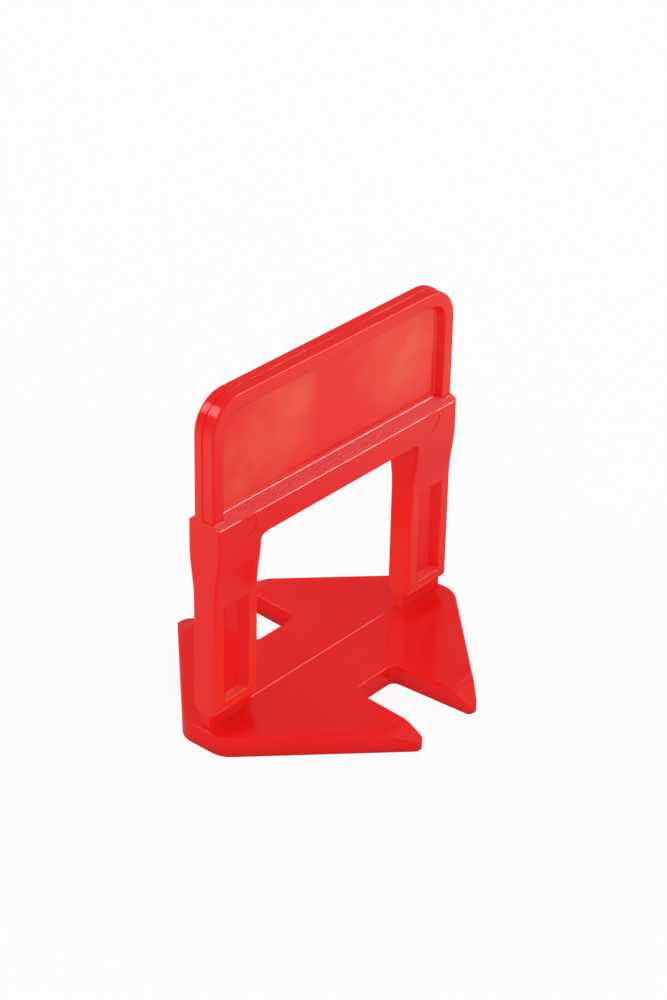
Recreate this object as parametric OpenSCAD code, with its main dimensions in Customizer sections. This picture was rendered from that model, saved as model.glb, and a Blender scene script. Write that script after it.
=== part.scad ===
// Tile levelling clip: a one-piece injection moulding that stands under two neighbouring tiles.
// A wedge goes through the window and draws the base up against the tiles. The clip then breaks
// off at the two thin necks, which stay in the joint together with the base.
// X runs along the plate, Y from front to back, Z upwards. The origin is under the middle of the base.

/* [Plate] */
// Width of the plate across its legs and its beam
plate_w = 39.6; // [38:0.2:46]
// Height of the whole clip
clip_h = 42.2; // [38:0.1:48]
// Width of the window that the wedge goes through
window_w = 26; // [24:0.5:27]
// Height of the window's upper edge over the underside of the base
window_top = 24.7; // [22:0.05:26]
// Radius of the window's upper corners
window_r = 0.8; // [0.4:0.1:1.5]

/* [Beam] */
// Thickness of the beam over the window
beam_t = 4.4; // [4:0.1:5]
// Height of the flat faces of the beam
beam_h = 3.05; // [2.6:0.05:4]
// Slope of the ledge that leads from the beam up to the head, in degrees
ledge_angle = 30; // [25:1:45]
// Radius of the upright edges at the ends of the beam
beam_edge_r = 0.35; // [0.2:0.05:0.9]
// Radius of the lower edges of the beam over the window
beam_low_r = 0.15; // [0.05:0.01:0.3]
// Radius of the edge between the beam and the ledge
ledge_edge_r = 0.12; // [0.05:0.01:0.3]
// Radius of the hollow where the ledge meets the recessed field
ledge_hollow_r = 0.5; // [0.2:0.05:0.8]
// Radius of the hollow where the ledge meets the rim
rim_hollow_r = 0.25; // [0.1:0.05:0.5]
// Length over which the legs thicken towards the beam
taper_h = 6.6; // [4:0.1:7]
// Diameter of the two round ejector marks
mark_d = 2.7; // [1.5:0.1:3]
// Depth of the ejector marks
mark_depth = 0.06; // [0.03:0.01:0.2]
// Distance of each ejector mark from the end of the beam
mark_in = 4.5; // [3:0.1:6]
// Distance of the centre of each ejector mark under the upper edge of the beam
mark_down = 0.95; // [0.5:0.05:1.5]

/* [Head] */
// Width of the head
head_w = 39.6; // [37.4:0.1:46]
// Thickness of the head's rim
head_t = 2.7; // [2.2:0.1:3.2]
// Radius of the head's upper corners
head_r = 4; // [3:0.25:6]
// Radius of the front and back edges of the head
head_edge_r = 0.3; // [0.1:0.05:0.4]
// Width of the rim round the recessed field
rim_w = 1.7; // [1.2:0.1:2.5]
// Depth of the recessed field on each side
recess_d = 0.85; // [0.5:0.05:0.95]
// Run of the sloped walls of the recessed field
recess_run = 0.5; // [0.2:0.1:1]
// Radius of the edge between the rim and those walls
rim_edge_r = 0.2; // [0.05:0.05:0.3]
// Radius of the hollow between those walls and the floor
recess_hollow_r = 0.35; // [0.1:0.05:0.4]
// Step at the parting line, where the front half of the head stands inside the back half
parting_step = 0.12; // [0.05:0.01:0.25]
// Distance of the parting line behind the middle of the plate
parting_y = 0.2; // [0:0.05:0.4]

/* [Legs] */
// Thickness of the legs
leg_t = 3.2; // [2.8:0.1:3.6]
// Radius of the outer upright edges of the legs
leg_edge_r = 0.3; // [0.15:0.05:0.9]
// Radius of the upright edges of the legs at the window
window_edge_r = 0.35; // [0.1:0.05:0.5]
// Radius of the lower front and back edges of the legs
leg_foot_r = 0.8; // [0.3:0.05:0.9]
// Width of the leg's face on each side of its pocket
pocket_rim = 1.35; // [1:0.05:1.6]
// Depth of the pocket in the front and the back of each leg
pocket_d = 0.85; // [0.4:0.05:0.95]
// Run of the sloped side walls of the pockets
pocket_run = 1; // [0.4:0.05:1.1]
// Run of the end walls of the pockets
pocket_end_run = 0.3; // [0.1:0.05:0.6]
// Distance of the pocket over the foot of the leg
pocket_low = 1.6; // [1:0.1:3]
// Distance of the pocket under the start of the taper
pocket_high = 0.4; // [0.3:0.1:3]
// Radius of the edges and of the hollows of the pockets
pocket_edge_r = 0.2; // [0.05:0.05:0.25]

/* [Break neck] */
// Thickness of the neck, which sets the width of the tile joint
neck_t = 1.3; // [0.8:0.1:1.5]
// Height of the neck between the base and the leg
neck_h = 1.7; // [1.4:0.1:2.5]
// Distance of the ends of the neck inside the sides of the leg
neck_in = 0.05; // [0.05:0.05:0.5]

/* [Base] */
// Thickness of the base
base_t = 2.4; // [2:0.1:3]
// Width of the base across its two ends
base_w = 40.6; // [38:0.1:48]
// Depth of the base, from the front tips to the back tips
base_depth = 35.8; // [32:0.2:40]
// Length of the straight ends of the base, before their corners are rounded
base_end = 5.6; // [5:0.1:9]
// Distance between the outer corners of two neighbouring tips
tip_span = 10.4; // [10.2:0.1:13]
// Width of the notches at their floor
notch_w = 6.8; // [5:0.1:7.3]
// Width of the notches at their mouth
notch_mouth_w = 8.1; // [7.6:0.1:8.6]
// Depth of the notches
notch_depth = 10.55; // [8:0.05:12]
// Radius of the corners at the ends of the base
end_r = 3; // [1:0.25:4]
// Radius of the corners of the tips
tip_r = 0.6; // [0.45:0.05:0.65]
// Radius of the inner corners of the notches
notch_r = 0.9; // [0.4:0.1:2]
// Radius of the upper edges of the base along its slanted sides and its tips
edge_r = 0.4; // [0.2:0.05:0.4]
// Radius of its upper edges at the ends and in the notches, as a share of that
crisp_share = 0.25; // [0.1:0.05:1]
// Length of the ramps that lead up from the tips
ramp_l = 2.8; // [2:0.1:4]
// Height of the ramps
ramp_h = 1.3; // [0.6:0.1:1.6]
// Radius of the bend between the flat top of the base and the ramps
ramp_r = 4; // [1:0.5:5]
// Width of the fine witness line on the base between the legs
witness_w = 0.2; // [0.1:0.02:0.4]
// Height of the witness line
witness_h = 0.08; // [0.04:0.01:0.15]

/* [Hidden] */

// Number of straight steps in a rounded corner, in a small rounded edge and in the curve of the taper
corner_steps = 6;
edge_steps = 4;
taper_steps = 9;
$fn = 48;

// Amount by which cutters run past a face
past = 1;

// Heights of the leg's foot, of the lower end of its taper and of the beam's upper edge
foot_z = base_t + neck_h;
taper_z = window_top - taper_h;
beam_z = window_top + beam_h;

// Depth by which a hollow's end runs into the face that it meets, and a leg into the beam
seam = 0.005;
leg_seam = 0.05;

// Largest share of the leg's half thickness that its rounded edges take up
round_share = 0.8;

// Radius of the corners of the pockets, and the least radius of the corners of the recessed field
pocket_r = 0.3;
least_recess_r = 0.5;

// Lean of the step at the parting line, as a share of its height
parting_lean = 0.25;

// Corners under this radius stay sharp
sharp_r = 0.02;

function unit(v) = v / norm(v);
function left_of(d) = [-d.y, d.x];

// Share of the inset that the edge before a corner takes, or the edge after it
function inset_share(corner, after) = len(corner) > 3 ? corner[after ? 4 : 3] : 1;

// Points of one rounded corner [x, y, radius], moved inwards by inset on an anticlockwise outline.
// The corner may also have the two shares of the inset that its edges take.
function corner_arc(before, at, after, inset = 0, steps = corner_steps) =
    let (
        d1 = unit([at.x - before.x, at.y - before.y]),
        d2 = unit([after.x - at.x, after.y - at.y]),
        n1 = left_of(d1),
        n2 = left_of(d2),
        inset1 = inset * inset_share(at, false),
        inset2 = inset * inset_share(at, true),
        spread = n1.x * n2.y - n1.y * n2.x,
        turn = atan2(spread, d1 * d2),
        side = sign(turn),
        moved = [inset1 * n2.y - inset2 * n1.y, inset2 * n1.x - inset1 * n2.x] / spread,
        corner = [at.x, at.y] + moved,
        r = at[2] - side * (inset1 + inset2) / 2,
        centre = corner - d1 * r * tan(abs(turn) / 2) + n1 * r * side,
        start = atan2(-n1.y * side, -n1.x * side)
    )
    r < sharp_r ? [corner] :
    [for (k = [0 : steps]) centre + r * [cos(start + turn * k / steps), sin(start + turn * k / steps)]];

// Points of a closed outline of rounded corners
function rounded_outline(corners, inset = 0) =
    let (n = len(corners))
    [for (i = [0 : n - 1])
        each corner_arc(corners[(i + n - 1) % n], corners[i], corners[(i + 1) % n], inset)];

// Right half of a section, closed by its mirror image
function with_mirrored(right) =
    concat(right, [for (i = [len(right) - 1 : -1 : 0]) [-right[i].x, right[i].y]]);

function lifted(outline, z) = [for (p = outline) [p.x, p.y, z]];

// Solid skinned through level outlines of n points each. Point i of a level lies across the X axis
// from point n - 1 - i, and each end is closed by a strip of quads between such pairs.
module skin(levels) {
    n = len(levels[0]);
    top = len(levels) - 1;
    function end_strip(first) =
        [for (i = [0 : n / 2 - 2]) [first + i, first + i + 1, first + n - 2 - i, first + n - 1 - i]];
    function turned(faces) = [for (f = faces) [f[3], f[2], f[1], f[0]]];
    polyhedron(
        points = [for (level = levels) each level],
        faces = concat(
            end_strip(0),
            turned(end_strip(top * n)),
            [for (j = [0 : top - 1], i = [0 : n - 1])
                [j * n + i, (j + 1) * n + i, (j + 1) * n + (i + 1) % n, j * n + (i + 1) % n]]
        ));
}

// Solid skinned through outlines in X and Z, each at a distance in front of the middle of the plate
module skin_across(levels) {
    rotate([90, 0, 0])
        skin(levels);
}

// Points [inset, height] up the wall of a sunk field from its floor to a face at height 0
function wall_profile(run, depth, edge_r, hollow_r) = concat(
    corner_arc([run + past, -depth], [run, -depth, hollow_r], [0, 0], 0, edge_steps),
    corner_arc([run, -depth], [0, 0, edge_r], [-past, 0], 0, edge_steps)
);

// Section in Y and Z, extruded along the plate between two values of X
module along_plate(x0, x1) {
    translate([x0, 0, 0])
        rotate([90, 0, 90])
            linear_extrude(x1 - x0)
                children();
}

module both_sides(axis) {
    children();
    mirror(axis)
        children();
}

// Corners of the base, written for the quarter at the right and back and mirrored to the others
function base_quarter() = [
    [base_w / 2, base_end / 2, end_r, crisp_share, 1],
    [tip_span / 2, base_depth / 2, tip_r, 1, 1],
    [notch_mouth_w / 2, base_depth / 2, tip_r, 1, crisp_share],
    [notch_w / 2, base_depth / 2 - notch_depth, notch_r, crisp_share, crisp_share]
];

function flipped(corners, sx, sy) =
    let (n = len(corners))
    sx * sy > 0
        ? [for (c = corners) [c.x * sx, c.y * sy, c[2], c[3], c[4]]]
        : [for (i = [n - 1 : -1 : 0]) let (c = corners[i]) [c.x * sx, c.y * sy, c[2], c[4], c[3]]];

function base_corners() = concat(
    flipped(base_quarter(), 1, 1),
    flipped(base_quarter(), -1, 1),
    flipped(base_quarter(), -1, -1),
    flipped(base_quarter(), 1, -1)
);

// Section of what the ramps cut off the base
module ramp_section() {
    tip = base_depth / 2;
    foot = [tip, base_t - ramp_h];
    bend = [tip - ramp_l, base_t + seam, ramp_r];
    polygon(concat(
        corner_arc(bend - [past, 0, 0], bend, foot, 0, corner_steps),
        [foot, foot + [past, 0], [tip + past, base_t + past], [0, base_t + past]]
    ));
}

// Flat base with rounded upper edges, swallow-tail notches and ramps at its four tips
module base() {
    skirt_z = base_t - edge_r;
    difference() {
        skin(concat(
            [lifted(rounded_outline(base_corners()), 0)],
            [for (k = [0 : edge_steps])
                let (a = 90 * k / edge_steps)
                lifted(rounded_outline(base_corners(), edge_r * (1 - cos(a))), skirt_z + edge_r * sin(a))]));
        both_sides([0, 1, 0])
            along_plate(-base_w / 2, base_w / 2)
                ramp_section();
    }
}

// Fine ridge that the two halves of the mould leave on the base between the legs
module witness_line() {
    along_plate(-window_w / 2, window_w / 2)
        polygon([
            [parting_y - witness_w / 2, base_t - witness_h],
            [parting_y + witness_w / 2, base_t - witness_h],
            [parting_y + witness_w / 2, base_t],
            [parting_y, base_t + witness_h],
            [parting_y - witness_w / 2, base_t]
        ]);
}

// Half the thickness of the leg at a height
function leg_half(z) =
    z < foot_z + leg_foot_r ? leg_t / 2 - leg_foot_r + sqrt(leg_foot_r ^ 2 - (foot_z + leg_foot_r - z) ^ 2)
    : z < taper_z ? leg_t / 2
    : leg_t / 2 + (beam_t - leg_t) / 4 * (1 - cos(180 * (z - taper_z) / taper_h));

// Radius of the leg's outer upright edges at a height
function leg_round(z) =
    min(leg_half(z) * round_share, z < taper_z ? leg_edge_r
        : leg_edge_r + (beam_edge_r - leg_edge_r) * (z - taper_z) / taper_h);

// Side of the leg towards the window at a height, with the window's rounded upper corner
function leg_inner(z) =
    let (up = max(0, z - (window_top - window_r)))
    window_w / 2 - window_r + sqrt(max(0, window_r ^ 2 - up ^ 2));

function leg_section(z, inset = 0) =
    let (
        h = leg_half(z),
        r0 = min(h * round_share, window_edge_r),
        r1 = leg_round(z),
        x0 = leg_inner(z),
        x1 = plate_w / 2
    )
    lifted(rounded_outline([[x0, -h, r0], [x1, -h, r1], [x1, h, r1], [x0, h, r0]], inset), z + inset);

// Heights of the sections of a leg: its rounded foot, its taper and the corner of the window
leg_heights = concat(
    [for (k = [0 : corner_steps]) foot_z + leg_foot_r * (1 - cos(90 * k / corner_steps))],
    [for (k = [0 : taper_steps]) taper_z + (taper_h - window_r) * k / taper_steps],
    [for (k = [1 : corner_steps]) window_top - window_r * (1 - sin(90 * k / corner_steps))]
);

// Rectangle of rounded corners in X and Z
function pocket_outline(run, end_run) =
    let (
        x0 = window_w / 2 + pocket_rim + run,
        x1 = plate_w / 2 - pocket_rim - run,
        z0 = foot_z + pocket_low + end_run,
        z1 = taper_z - pocket_high - end_run,
        r = pocket_r
    )
    rounded_outline([[x0, z0, r], [x1, z0, r], [x1, z1, r], [x0, z1, r]]);

// Cutter for the pocket in the front of the right leg
module leg_pocket() {
    profile = wall_profile(pocket_run, pocket_d, pocket_edge_r, pocket_edge_r);
    steepness = pocket_end_run / pocket_run;
    mouth = profile[len(profile) - 1];
    skin_across([for (p = concat(profile, [mouth + [0, past]]))
        lifted(pocket_outline(p.x, p.x * steepness), leg_t / 2 + p.y)]);
}

module right_leg() {
    difference() {
        skin(concat([for (z = leg_heights) leg_section(z)], [leg_section(window_top, leg_seam)]));
        both_sides([0, 1, 0])
            leg_pocket();
    }
}

// Thin neck under the leg, where the clip breaks off the base
module right_neck() {
    low = base_t - edge_r;
    along_plate(window_w / 2 + neck_in, plate_w / 2 - neck_in)
        translate([-neck_t / 2, low])
            square([neck_t, foot_z + leg_foot_r / 2 - low]);
}

// Section of the beam with a ledge on each side, which runs up to a web of a half thickness.
// Without a hollow the section ends at the top of the ledges.
module beam_section(web, hollow_r, low_z, low_r) {
    foot_of_web = beam_z + (beam_t / 2 - web) * tan(ledge_angle);
    low = [beam_t / 2, low_z, low_r];
    edge = [beam_t / 2, beam_z, ledge_edge_r];
    hollow = [web - seam, foot_of_web, hollow_r];
    top = [web - seam, foot_of_web + past];
    polygon(with_mirrored(concat(
        corner_arc([0, low_z], low, edge, 0, edge_steps),
        corner_arc(low, edge, hollow, 0, edge_steps),
        corner_arc(edge, hollow, top, 0, edge_steps),
        hollow_r > 0 ? [top] : []
    )));
}

// Cutter that rounds the upright edge at the right front end of the beam, as the leg under it is
module beam_corner() {
    x = plate_w / 2;
    y = -beam_t / 2;
    translate([0, 0, window_top - past])
        linear_extrude(beam_h + beam_t)
            polygon(concat(
                corner_arc([0, y], [x, y, beam_edge_r], [x, 0]),
                [[x + past, y + beam_edge_r], [x + past, y - past], [x - beam_edge_r, y - past]]
            ));
}

// Beam over the window. Its ledges run up to the recessed field, at the ends of that to the rim,
// and outside the head they end in a narrow flat.
module beam() {
    rim = head_t / 2;
    rim_x = head_w / 2 - rim_w + rim_edge_r;
    side_x = head_w / 2 - parting_step - head_edge_r;
    span_x = window_w / 2 - window_r;
    middle_z = window_top + beam_h / 2;
    difference() {
        union() {
            along_plate(-span_x, span_x)
                beam_section(rim, 0, window_top, beam_low_r);
            both_sides([1, 0, 0])
                along_plate(span_x, plate_w / 2)
                    beam_section(rim, 0, window_top, 0);
            along_plate(-side_x, side_x)
                beam_section(rim - recess_d, ledge_hollow_r, middle_z, 0);
            both_sides([1, 0, 0])
                along_plate(rim_x, side_x)
                    beam_section(rim, rim_hollow_r, middle_z, 0);
        }
        both_sides([1, 0, 0])
            both_sides([0, 1, 0])
                beam_corner();
    }
}

// Outline of the head over the beam, moved inwards by inset
function head_outline(inset) =
    let (x = head_w / 2 - inset, z = clip_h - inset, r = max(head_r - inset, least_recess_r))
    rounded_outline([[x, beam_z, 0], [x, z, r], [-x, z, r], [-x, beam_z, 0]]);

// Points [inset, height] across the edge of the head, with a small step at the parting line
head_edge = concat(
    [for (k = [0 : edge_steps])
        let (a = 90 * k / edge_steps)
        [head_edge_r * (1 - sin(a)), head_edge_r * (1 - cos(a)) - head_t / 2]],
    [[0, -parting_y], [parting_step, parting_step * parting_lean - parting_y]],
    [for (k = [0 : edge_steps])
        let (a = 90 * k / edge_steps)
        [parting_step + head_edge_r * (1 - cos(a)), head_t / 2 - head_edge_r * (1 - sin(a))]]
);

// Cutter for the recessed field in the front of the head
module head_recess() {
    profile = wall_profile(recess_run, recess_d, rim_edge_r, recess_hollow_r);
    mouth = profile[len(profile) - 1];
    skin_across([for (p = concat(profile, [mouth + [0, past]]))
        lifted(head_outline(rim_w + p.x), head_t / 2 + p.y)]);
}

// Head plate with a recessed field on each side
module head() {
    difference() {
        skin_across([for (p = head_edge) lifted(head_outline(p.x), p.y)]);
        both_sides([0, 1, 0])
            head_recess();
    }
}

// Shallow round marks of the ejector pins on the front of the beam
module ejector_marks() {
    both_sides([1, 0, 0])
        translate([plate_w / 2 - mark_in, -beam_t / 2 + mark_depth, beam_z - mark_down])
            rotate([90, 0, 0])
                cylinder(d = mark_d, h = mark_depth + past);
}

module levelling_clip() {
    color("red") {
        base();
        witness_line();
        both_sides([1, 0, 0]) {
            right_neck();
            right_leg();
        }
        difference() {
            union() {
                beam();
                head();
            }
            ejector_marks();
        }
    }
}

levelling_clip();
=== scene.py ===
"""A red plastic tile levelling clip on a pale floor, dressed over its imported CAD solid."""

import math

import bmesh
import bpy
from mathutils import Matrix, Vector


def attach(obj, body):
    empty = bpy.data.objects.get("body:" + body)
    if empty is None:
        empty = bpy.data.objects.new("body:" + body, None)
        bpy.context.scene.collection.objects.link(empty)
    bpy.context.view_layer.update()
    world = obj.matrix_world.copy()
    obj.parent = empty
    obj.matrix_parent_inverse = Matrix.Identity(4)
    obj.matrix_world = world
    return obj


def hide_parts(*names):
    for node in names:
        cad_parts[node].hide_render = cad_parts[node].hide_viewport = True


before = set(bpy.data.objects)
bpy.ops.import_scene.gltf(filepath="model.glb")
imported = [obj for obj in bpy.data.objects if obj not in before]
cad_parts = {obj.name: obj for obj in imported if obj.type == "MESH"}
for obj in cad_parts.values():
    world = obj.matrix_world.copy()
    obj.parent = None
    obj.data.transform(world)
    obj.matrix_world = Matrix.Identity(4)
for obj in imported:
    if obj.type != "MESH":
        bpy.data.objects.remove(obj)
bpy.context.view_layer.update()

# Lengths and places are in millimetres and angles in degrees
MM = 0.001
NODE = "levelling_clip"
WHITE = (1, 1, 1, 1)

# Camera: its direction and distance from the target, its roll, and where the target lies in its view
AZIMUTH = -49.9824
ELEVATION = 30.2709
ROLL = 1.201
TARGET = Vector((0, 0, 25))
ASIDE = -0.6428
ABOVE = 2.2906
DISTANCE = 294.0731
LENS = 97.2488
SENSOR = 36
VIEW_RANGE = (10, 10000)

# Point that the lamps face, and their distance from it
LAMP_CENTRE = Vector((0, 0, 20))
LAMP_DISTANCE = 900

# Corners closer than this are welded, and faces that turn less than this are joined
WELD = 0.0001
FLAT_ANGLE = 0.3

# Edges that turn more than this stay sharp in the shading, and large faces weigh this much in it
SHARP_ANGLE = 28
NORMAL_WEIGHT = 100

# Faces are found by their place and by their rise, which is the upward share of their normal

# Ledges above the beam, which have all of the spark-eroded grain
LEDGE_Z = (27.7, 29.3)
LEDGE_RISE = (0.84, 0.89)
FULL_GRAIN = 1.0

# Lower end walls of the leg pockets, which have all of the grain and hardly lean sideways
POCKET_END_Z = (5.5, 6.6)
POCKET_END_Y = 1.62
POCKET_END_RISE = 0.9
POCKET_END_LEAN = 0.2

# Slopes of the witness ridge on the base
RIDGE_Z = (2.41, 2.47)
RIDGE_Y = 0.15
RIDGE_RISE = 0.6
RIDGE_GRAIN = 0.6

# Hollow at the foot of the head's thin field, and the rise of its lowest strip, which has the grain
HOLLOW_Z = (28.5, 29.1)
HOLLOW_Y = 0.8
HOLLOW_RISE = (0.75, 0.83)
HOLLOW_GRAIN = 0.27

# Rounded upper edges of the head
HEAD_EDGE_Z = 41.85
HEAD_EDGE_Y = 1.0
HEAD_EDGE_RISE = (0.15, 0.99)
HEAD_EDGE_GRAIN = 0.45

# Rounded edges between the beam and its ledges
BEAM_EDGE_Z = (27.6, 27.85)
BEAM_EDGE_Y = 2.0

# Thin field of the head: its half thickness, where it starts, and how squarely it faces front or back
FIELD_Y = 0.6
FIELD_Z = 28.8
FIELD_FACING = 0.9

# Legs: where they start beside the window, between which heights they get a painted glow, and their pockets
LEG_X = 12.8
LEG_Z = (3.5, 24)
POCKET_X = (13.4, 19.2)
POCKET_Y = 1.55
INNER_PAINTED_GLOW = 1.0
OUTER_PAINTED_GLOW = 0.6

# Colours of the plastic: two that its clouds vary between, and that of a painted glow, which stands in for
# light that comes through
DEEP_RED = (0.95, 0.009, 0.009, 1)
PALE_RED = (0.99, 0.014, 0.012, 1)
PAINTED_GLOW_RED = (0.97, 0.09, 0.045, 1)

# Clouds in the colour and the gloss: their size, the noise values that they span, and their roughness
CLOUD_SIZE = 9
CLOUD_NOISE = (0.1, 0.9)
CLOUD_ROUGHNESS = (0.1, 0.18)
GRAIN_ROUGHNESS = 0.25

# Unevenness of the surface: sizes and depths of its slow waves, of its skin and of its grain
WAVE_SIZE = 14
WAVE_DEPTH = 0.25
SKIN_SIZE = 0.35
SKIN_DEPTH = 0.006
GRAIN_SIZE = 0.2
GRAIN_DEPTH = 0.12

# Refraction, share of the light that enters the plastic, and how far its red, green and blue go
IOR = 1.49
SUBSURFACE = 0.8
SUBSURFACE_RADIUS = (1.4, 0.3, 0.15)

# Patches of the thin field with a painted glow, standing in for light that comes through: their middles,
# two on the left and one on the right, the distances that they fade between, and the places that the
# left ones end between
PAINTED_GLOW_SPOTS = ((-7.5, 0, 36.5), (-13.5, 0, 31), (11.5, 0, 37))
PATCH_REACH = (1, 10.5)
LEFT_END_X = (-4, -2)

# Unevenness of the patches: its size, its detail, and the noise values and the shares of painted glow
UNEVEN_SIZE = 5
UNEVEN_DETAIL = 3
UNEVEN_LIGHT = ((0.3, 0.7), (0.4, 1.1))

# Painted glow on the legs, standing in for light that comes through: the heights that it fades between, and
# its shares there
LEG_PAINTED_GLOW = ((12, 22), (0.34, 0.0))

# Light of the world, from the horizon to overhead
SKY_STRENGTH = (1.09, 0.76)

# Wall in the reflections: the side that it is brightest on, and how its strength grows towards there
WALL_SIDE = Vector((0.64, -0.77, 0.0))
WALL_STRENGTH = ((0.2, 1.0), (0.2, 0.7))

# Floor: its half width, its colour, and the share of plain white that the camera sees in it
FLOOR_HALF = 1500
FLOOR_COLOUR = (0.92, 0.92, 0.92, 1)
FLOOR_ROUGHNESS = 0.9
FLOOR_WHITENESS = 0.9

# Floor in the reflections, with painted shade near the clip: the places that its brightness changes
# between, and the shares there
NEAR_TO_FAR = ((22, 78), (0.28, 0.9))
LEFT_FRONT_TO_MIDDLE = ((-65, -15), (0.6, 1.0))
LEFT_TO_RIGHT = ((-10, 15), (0.0, 0.7))
FRONT_TO_BACK = ((-20, 5), (0.0, 1.0))

# Painted mottling of the floor's light in the reflections, and the tones of its dim and its bright parts
MOTTLE_SIZE = 26
MOTTLE_LIGHT = ((0.35, 0.65), (0.75, 1.0))
DIM_TONE = (0.85, 0.85, 1.0, 1)
BRIGHT_TONE = (1.0, 0.9, 0.68, 1)


def add_object(name, data):
    item = bpy.data.objects.new(name, data)
    bpy.context.scene.collection.objects.link(item)
    return item


def standing(place, right, up, back):
    """Matrix of an object that stands at a place and has these directions as its own axes."""
    return Matrix.Translation(place * MM) @ Matrix((right, up, back)).transposed().to_4x4()


def make_camera():
    """Camera that looks at the target, which lies a little aside and above the middle of its view."""
    az, el, roll = (math.radians(angle) for angle in (AZIMUTH, ELEVATION, ROLL))
    back = Vector((math.sin(az) * math.cos(el), -math.cos(az) * math.cos(el), math.sin(el)))
    level = Vector((math.cos(az), math.sin(az), 0))
    upright = back.cross(level)
    right = level * math.cos(roll) + upright * math.sin(roll)
    up = upright * math.cos(roll) - level * math.sin(roll)
    data = bpy.data.cameras.new("camera")
    data.lens = LENS
    data.sensor_width = SENSOR
    data.clip_start, data.clip_end = (end * MM for end in VIEW_RANGE)
    camera = add_object("camera", data)
    place = TARGET - right * ASIDE - up * ABOVE + back * DISTANCE
    camera.matrix_world = standing(place, right, up, back)
    bpy.context.scene.camera = camera


def within(value, ends):
    return ends[0] < value < ends[1]


def grain_of(face):
    """Share of the grain that a face has: all of it on the ledges and the pockets' lower end walls."""
    spot = face.calc_center_median() / MM
    rise = face.normal.z
    on_ledge = within(spot.z, LEDGE_Z) and within(rise, LEDGE_RISE)
    in_pocket = within(spot.z, POCKET_END_Z) and abs(spot.y) < POCKET_END_Y
    looks_up = rise > POCKET_END_RISE and abs(face.normal.x) < POCKET_END_LEAN
    on_ridge = within(spot.z, RIDGE_Z) and abs(spot.y) < RIDGE_Y and rise > RIDGE_RISE
    in_hollow = within(spot.z, HOLLOW_Z) and within(rise, HOLLOW_RISE)
    at_top = spot.z > HEAD_EDGE_Z and abs(spot.y) > HEAD_EDGE_Y
    if on_ledge or (in_pocket and looks_up):
        return FULL_GRAIN
    if on_ridge:
        return RIDGE_GRAIN
    if in_hollow:
        return HOLLOW_GRAIN
    return HEAD_EDGE_GRAIN if at_top and within(rise, HEAD_EDGE_RISE) else 0.0


def is_thin(face):
    """Whether a face belongs to the thin field of the head, where a painted glow stands in for light coming
    through.
    """
    spot = face.calc_center_median() / MM
    return abs(spot.y) < FIELD_Y and spot.z > FIELD_Z and abs(face.normal.y) > FIELD_FACING


def painted_leg_glow(face):
    """Share of the painted glow on a leg that a face shows: less on the outer side, none in a pocket."""
    spot = face.calc_center_median() / MM
    in_pocket = within(abs(spot.x), POCKET_X) and abs(spot.y) < POCKET_Y
    if in_pocket or abs(spot.x) < LEG_X or not within(spot.z, LEG_Z):
        return 0.0
    return OUTER_PAINTED_GLOW if abs(spot.x) > POCKET_X[1] else INNER_PAINTED_GLOW


def is_crisp(edge):
    """Whether an edge lies on the rounding between beam and ledge, or in the hollow above the ledge."""
    spots = [vert.co / MM for vert in edge.verts]
    on_beam = all(within(spot.z, BEAM_EDGE_Z) and abs(spot.y) > BEAM_EDGE_Y for spot in spots)
    in_hollow = all(within(spot.z, HOLLOW_Z) and abs(spot.y) < HOLLOW_Y for spot in spots)
    return on_beam or in_hollow


def clip_mesh():
    """The CAD solid, smooth but for its sharp edges, with the face marks that its material reads."""
    bm = bmesh.new()
    bm.from_mesh(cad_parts[NODE].data)
    bmesh.ops.remove_doubles(bm, verts=bm.verts, dist=WELD * MM)
    bmesh.ops.dissolve_limit(bm, angle_limit=math.radians(FLAT_ANGLE), verts=bm.verts, edges=bm.edges)
    bm.normal_update()
    for edge in bm.edges:
        edge.smooth = edge.calc_face_angle(0) < math.radians(SHARP_ANGLE) and not is_crisp(edge)
    rules = {"grain": grain_of, "thin": is_thin, "leg": painted_leg_glow}
    marks = {name: [float(rule(face)) for face in bm.faces] for name, rule in rules.items()}
    mesh = bpy.data.meshes.new("clip")
    bm.to_mesh(mesh)
    bm.free()
    for name, values in marks.items():
        mesh.attributes.new(name, "FLOAT", "FACE").data.foreach_set("value", values)
    mesh.polygons.foreach_set("use_smooth", [True] * len(mesh.polygons))
    facet_normals = mesh.attributes.get("custom_normal")
    if facet_normals is not None:
        mesh.attributes.remove(facet_normals)
    return mesh


def make_clip():
    """The clip as one piece that takes the place of the CAD solid."""
    clip = add_object("clip", clip_mesh())
    normals = clip.modifiers.new("normals", "WEIGHTED_NORMAL")
    normals.keep_sharp = True
    normals.weight = NORMAL_WEIGHT
    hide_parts(NODE)
    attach(clip, "root")
    return clip


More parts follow.
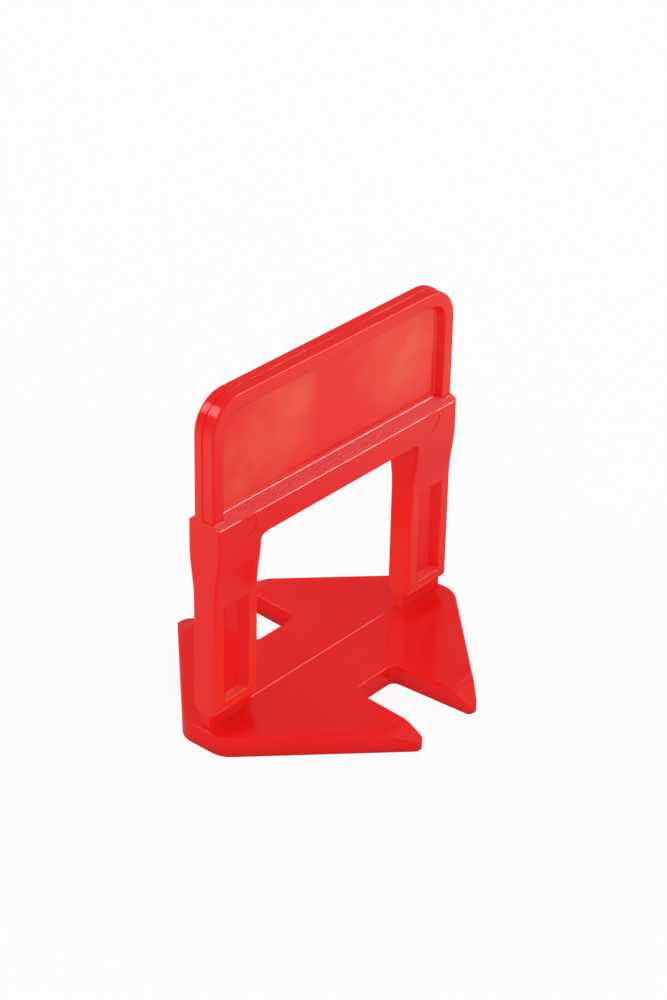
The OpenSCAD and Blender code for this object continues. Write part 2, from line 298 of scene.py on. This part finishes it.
class Nodes:
    """Short calls that add shader nodes to a tree and link them."""

    # Sockets of a Mix node for colours, whose names aren't unique
    FIRST_COLOUR = 6
    SECOND_COLOUR = 7
    MIXED_COLOUR = 2

    def __init__(self, tree):
        self.tree = tree

    def add(self, kind, **values):
        node = self.tree.nodes.new("ShaderNode" + kind)
        for name, value in values.items():
            setattr(node, name, value)
        return node

    def set(self, node, socket, value):
        """Link an input of a node to an output, or give it a value of its own."""
        if isinstance(value, bpy.types.NodeSocket):
            self.tree.links.new(value, node.inputs[socket])
        else:
            node.inputs[socket].default_value = value

    def math(self, operation, a, b):
        node = self.add("Math", operation=operation)
        self.set(node, 0, a)
        self.set(node, 1, b)
        return node.outputs[0]

    def measure(self, operation, *vectors):
        """Number that one or two vectors give, such as a length or a distance."""
        node = self.add("VectorMath", operation=operation)
        for socket, vector in enumerate(vectors):
            self.set(node, socket, vector)
        return node.outputs["Value"]

    def split(self, vector):
        """The X, Y and Z of a vector."""
        node = self.add("SeparateXYZ")
        self.set(node, 0, vector)
        return node.outputs

    def mark(self, name):
        """Number that the mesh has on each face."""
        return self.add("Attribute", attribute_name=name).outputs["Fac"]

    def noise(self, vector, size, detail=2.0):
        """Noise with features of about a size."""
        node = self.add("TexNoise")
        self.set(node, "Vector", vector)
        self.set(node, "Scale", 1 / (size * MM))
        self.set(node, "Detail", detail)
        return node.outputs["Fac"]

    def span(self, value, ends, results):
        """Map a value from one range to another, with a soft start and end."""
        node = self.add("MapRange", interpolation_type="SMOOTHSTEP")
        self.set(node, "Value", value)
        self.set(node, "From Min", ends[0])
        self.set(node, "From Max", ends[1])
        self.set(node, "To Min", results[0])
        self.set(node, "To Max", results[1])
        return node.outputs["Result"]

    def span_length(self, length, ends, results):
        """Map a length or a place from a range in millimetres to another range."""
        return self.span(length, [end * MM for end in ends], results)

    def blend(self, factor, first, second):
        """Colour between two colours."""
        node = self.add("Mix", data_type="RGBA")
        self.set(node, "Factor", factor)
        self.set(node, self.FIRST_COLOUR, first)
        self.set(node, self.SECOND_COLOUR, second)
        return node.outputs[self.MIXED_COLOUR]

    def shine(self, kind, colour, strength):
        """Shader of a kind that gives light by itself."""
        node = self.add(kind)
        self.set(node, "Color", colour)
        self.set(node, "Strength", strength)
        return node

    def mix(self, factor, first, second):
        """Shader between two shaders."""
        node = self.add("MixShader")
        self.set(node, "Fac", factor)
        self.set(node, 1, first.outputs[0])
        self.set(node, 2, second.outputs[0])
        return node

    def bump(self, height, depth, normal=None):
        """Normals of a bumpy surface, on top of other bumps if their normals are given."""
        node = self.add("Bump")
        self.set(node, "Height", height)
        self.set(node, "Distance", depth * MM)
        if normal:
            self.set(node, "Normal", normal)
        return node.outputs["Normal"]


def new_material(name):
    material = bpy.data.materials.new(name)
    material.use_nodes = True
    return material, Nodes(material.node_tree)


def patch(n, place, middle):
    """Soft round patch that is 1 in its middle and 0 outside."""
    return n.span_length(n.measure("DISTANCE", place, Vector(middle) * MM), PATCH_REACH, (1, 0))


def painted_glow(n, place):
    """Share of painted glow, standing in for light that comes through: in uneven patches of the thin field,
    and low in the legs.
    """
    axes = n.split(place)
    left_top, left_foot, right = (patch(n, place, middle) for middle in PAINTED_GLOW_SPOTS)
    left_half = n.span_length(axes["X"], LEFT_END_X, (1, 0))
    left = n.math("MULTIPLY", n.math("MAXIMUM", left_top, left_foot), left_half)
    uneven = n.span(n.noise(place, UNEVEN_SIZE, UNEVEN_DETAIL), *UNEVEN_LIGHT)
    patches = n.math("MULTIPLY", uneven, n.math("MAXIMUM", left, right))
    field = n.math("MULTIPLY", n.mark("thin"), patches)
    legs = n.math("MULTIPLY", n.mark("leg"), n.span_length(axes["Z"], *LEG_PAINTED_GLOW))
    return n.math("ADD", field, legs)


def moulded_surface(n, place, grain):
    """Normals of slow waves, of a fine skin, and of the grain where the mould was spark-eroded."""
    waves = n.bump(n.noise(place, WAVE_SIZE, 0), WAVE_DEPTH)
    skin = n.bump(n.noise(place, SKIN_SIZE), SKIN_DEPTH, waves)
    sparks = n.math("MULTIPLY", n.noise(place, GRAIN_SIZE), grain)
    return n.bump(sparks, GRAIN_DEPTH, skin)


def red_plastic():
    """Moulded plastic that is slightly translucent with a painted glow in places, a little cloudy and wavy,
    and grained in places.
    """
    material, n = new_material("moulded_red_plastic")
    shader = n.tree.nodes["Principled BSDF"]
    place = n.add("TexCoord").outputs["Object"]
    grain = n.mark("grain")
    cloud = n.noise(place, CLOUD_SIZE)
    tint = n.blend(n.span(cloud, CLOUD_NOISE, (0, 1)), DEEP_RED, PALE_RED)
    smooth = n.span(cloud, CLOUD_NOISE, CLOUD_ROUGHNESS)
    # Base colour, with a painted glow where light would come through the thin field and the legs
    n.set(shader, "Base Color", n.blend(painted_glow(n, place), tint, PAINTED_GLOW_RED))
    n.set(shader, "Roughness", n.math("ADD", smooth, n.math("MULTIPLY", grain, GRAIN_ROUGHNESS)))
    n.set(shader, "Normal", moulded_surface(n, place, grain))
    n.set(shader, "IOR", IOR)
    n.set(shader, "Subsurface Weight", SUBSURFACE)
    n.set(shader, "Subsurface Radius", SUBSURFACE_RADIUS)
    n.set(shader, "Subsurface Scale", MM)
    return material


def make_world():
    """White light, a little dimmer overhead. Reflections see a wall, brightest at the right front."""
    world = bpy.data.worlds.new("studio")
    bpy.context.scene.world = world
    world.use_nodes = True
    n = Nodes(world.node_tree)
    path = n.add("LightPath").outputs
    sky = n.add("TexCoord").outputs["Generated"]
    even = n.tree.nodes["Background"]
    n.set(even, "Color", WHITE)
    n.set(even, "Strength", n.span(n.split(sky)["Z"], (0, 1), SKY_STRENGTH))
    towards_wall = n.measure("DOT_PRODUCT", sky, WALL_SIDE)
    wall = n.shine("Background", WHITE, n.span(towards_wall, *WALL_STRENGTH))
    white = n.shine("Background", WHITE, 1.0)
    lit = n.mix(path["Is Glossy Ray"], even, wall)
    seen = n.mix(path["Is Camera Ray"], lit, white)
    n.set(n.tree.nodes["World Output"], "Surface", seen.outputs[0])


def make_lamp(name, towards, along, size, power):
    """A lamp that only shows in reflections, as lines along rounded edges."""
    data = bpy.data.lights.new(name, "AREA")
    data.shape = "ELLIPSE"
    data.size = size[0] * MM
    data.size_y = size[1] * MM
    data.energy = power
    lamp = add_object(name, data)
    lamp.visible_diffuse = False
    back = Vector(towards).normalized()
    side = Vector(along).cross(back).normalized()
    lamp.matrix_world = standing(LAMP_CENTRE + back * LAMP_DISTANCE, side, back.cross(side), back)


def painted_floor_reflection(n):
    """Painted brightness of the floor in reflections: a painted shadow near the clip, dimmer at the left
    front and right back.
    """
    place = n.add("TexCoord").outputs["Object"]
    axes = n.split(place)
    far = n.span_length(n.measure("LENGTH", place), *NEAR_TO_FAR)
    left_front = n.span_length(n.math("ADD", axes["X"], axes["Y"]), *LEFT_FRONT_TO_MIDDLE)
    right = n.span_length(axes["X"], *LEFT_TO_RIGHT)
    back = n.span_length(axes["Y"], *FRONT_TO_BACK)
    right_back = n.math("SUBTRACT", 1.0, n.math("MULTIPLY", right, back))
    mottle = n.span(n.noise(place, MOTTLE_SIZE), *MOTTLE_LIGHT)
    around = n.math("MULTIPLY", far, left_front)
    return n.math("MULTIPLY", around, n.math("MULTIPLY", right_back, mottle))


def pale_floor():
    """Matt floor that the camera sees as white but for a faint shadow, and with painted shade in
    reflections.
    """
    material, n = new_material("pale_floor")
    shader = n.tree.nodes["Principled BSDF"]
    n.set(shader, "Base Color", FLOOR_COLOUR)
    n.set(shader, "Roughness", FLOOR_ROUGHNESS)
    n.set(shader, "Specular IOR Level", 0.0)
    path = n.add("LightPath").outputs
    white = n.shine("Emission", WHITE, 1.0)
    seen = n.mix(n.math("MULTIPLY", path["Is Camera Ray"], FLOOR_WHITENESS), shader, white)
    bright = painted_floor_reflection(n)
    # Painted reflection: what the floor shows to glossy rays, with painted shade near the clip
    sheen = n.shine("Emission", n.blend(bright, DIM_TONE, BRIGHT_TONE), bright)
    reflected = n.mix(path["Is Glossy Ray"], seen, sheen)
    n.set(n.tree.nodes["Material Output"], "Surface", reflected.outputs[0])
    return material


def make_floor():
    half = FLOOR_HALF * MM
    corners = [(x * half, y * half, 0) for x, y in ((-1, -1), (1, -1), (1, 1), (-1, 1))]
    mesh = bpy.data.meshes.new("floor")
    mesh.from_pydata(corners, [], [(0, 1, 2, 3)])
    mesh.materials.append(pale_floor())
    floor = add_object("floor", mesh)


bpy.context.scene.view_settings.view_transform = "Standard"
make_camera()
make_world()
make_floor()
make_lamp("front_softbox", towards=(0.66, -0.345, 0.665), along=(0, 0.89, 0.46), size=(300, 110), power=2.6)
make_lamp("back_softbox", towards=(-0.5, 0.555, 0.66), along=(0, 0, 1), size=(420, 420), power=1.36)
clip = make_clip()
clip.data.materials.append(red_plastic())
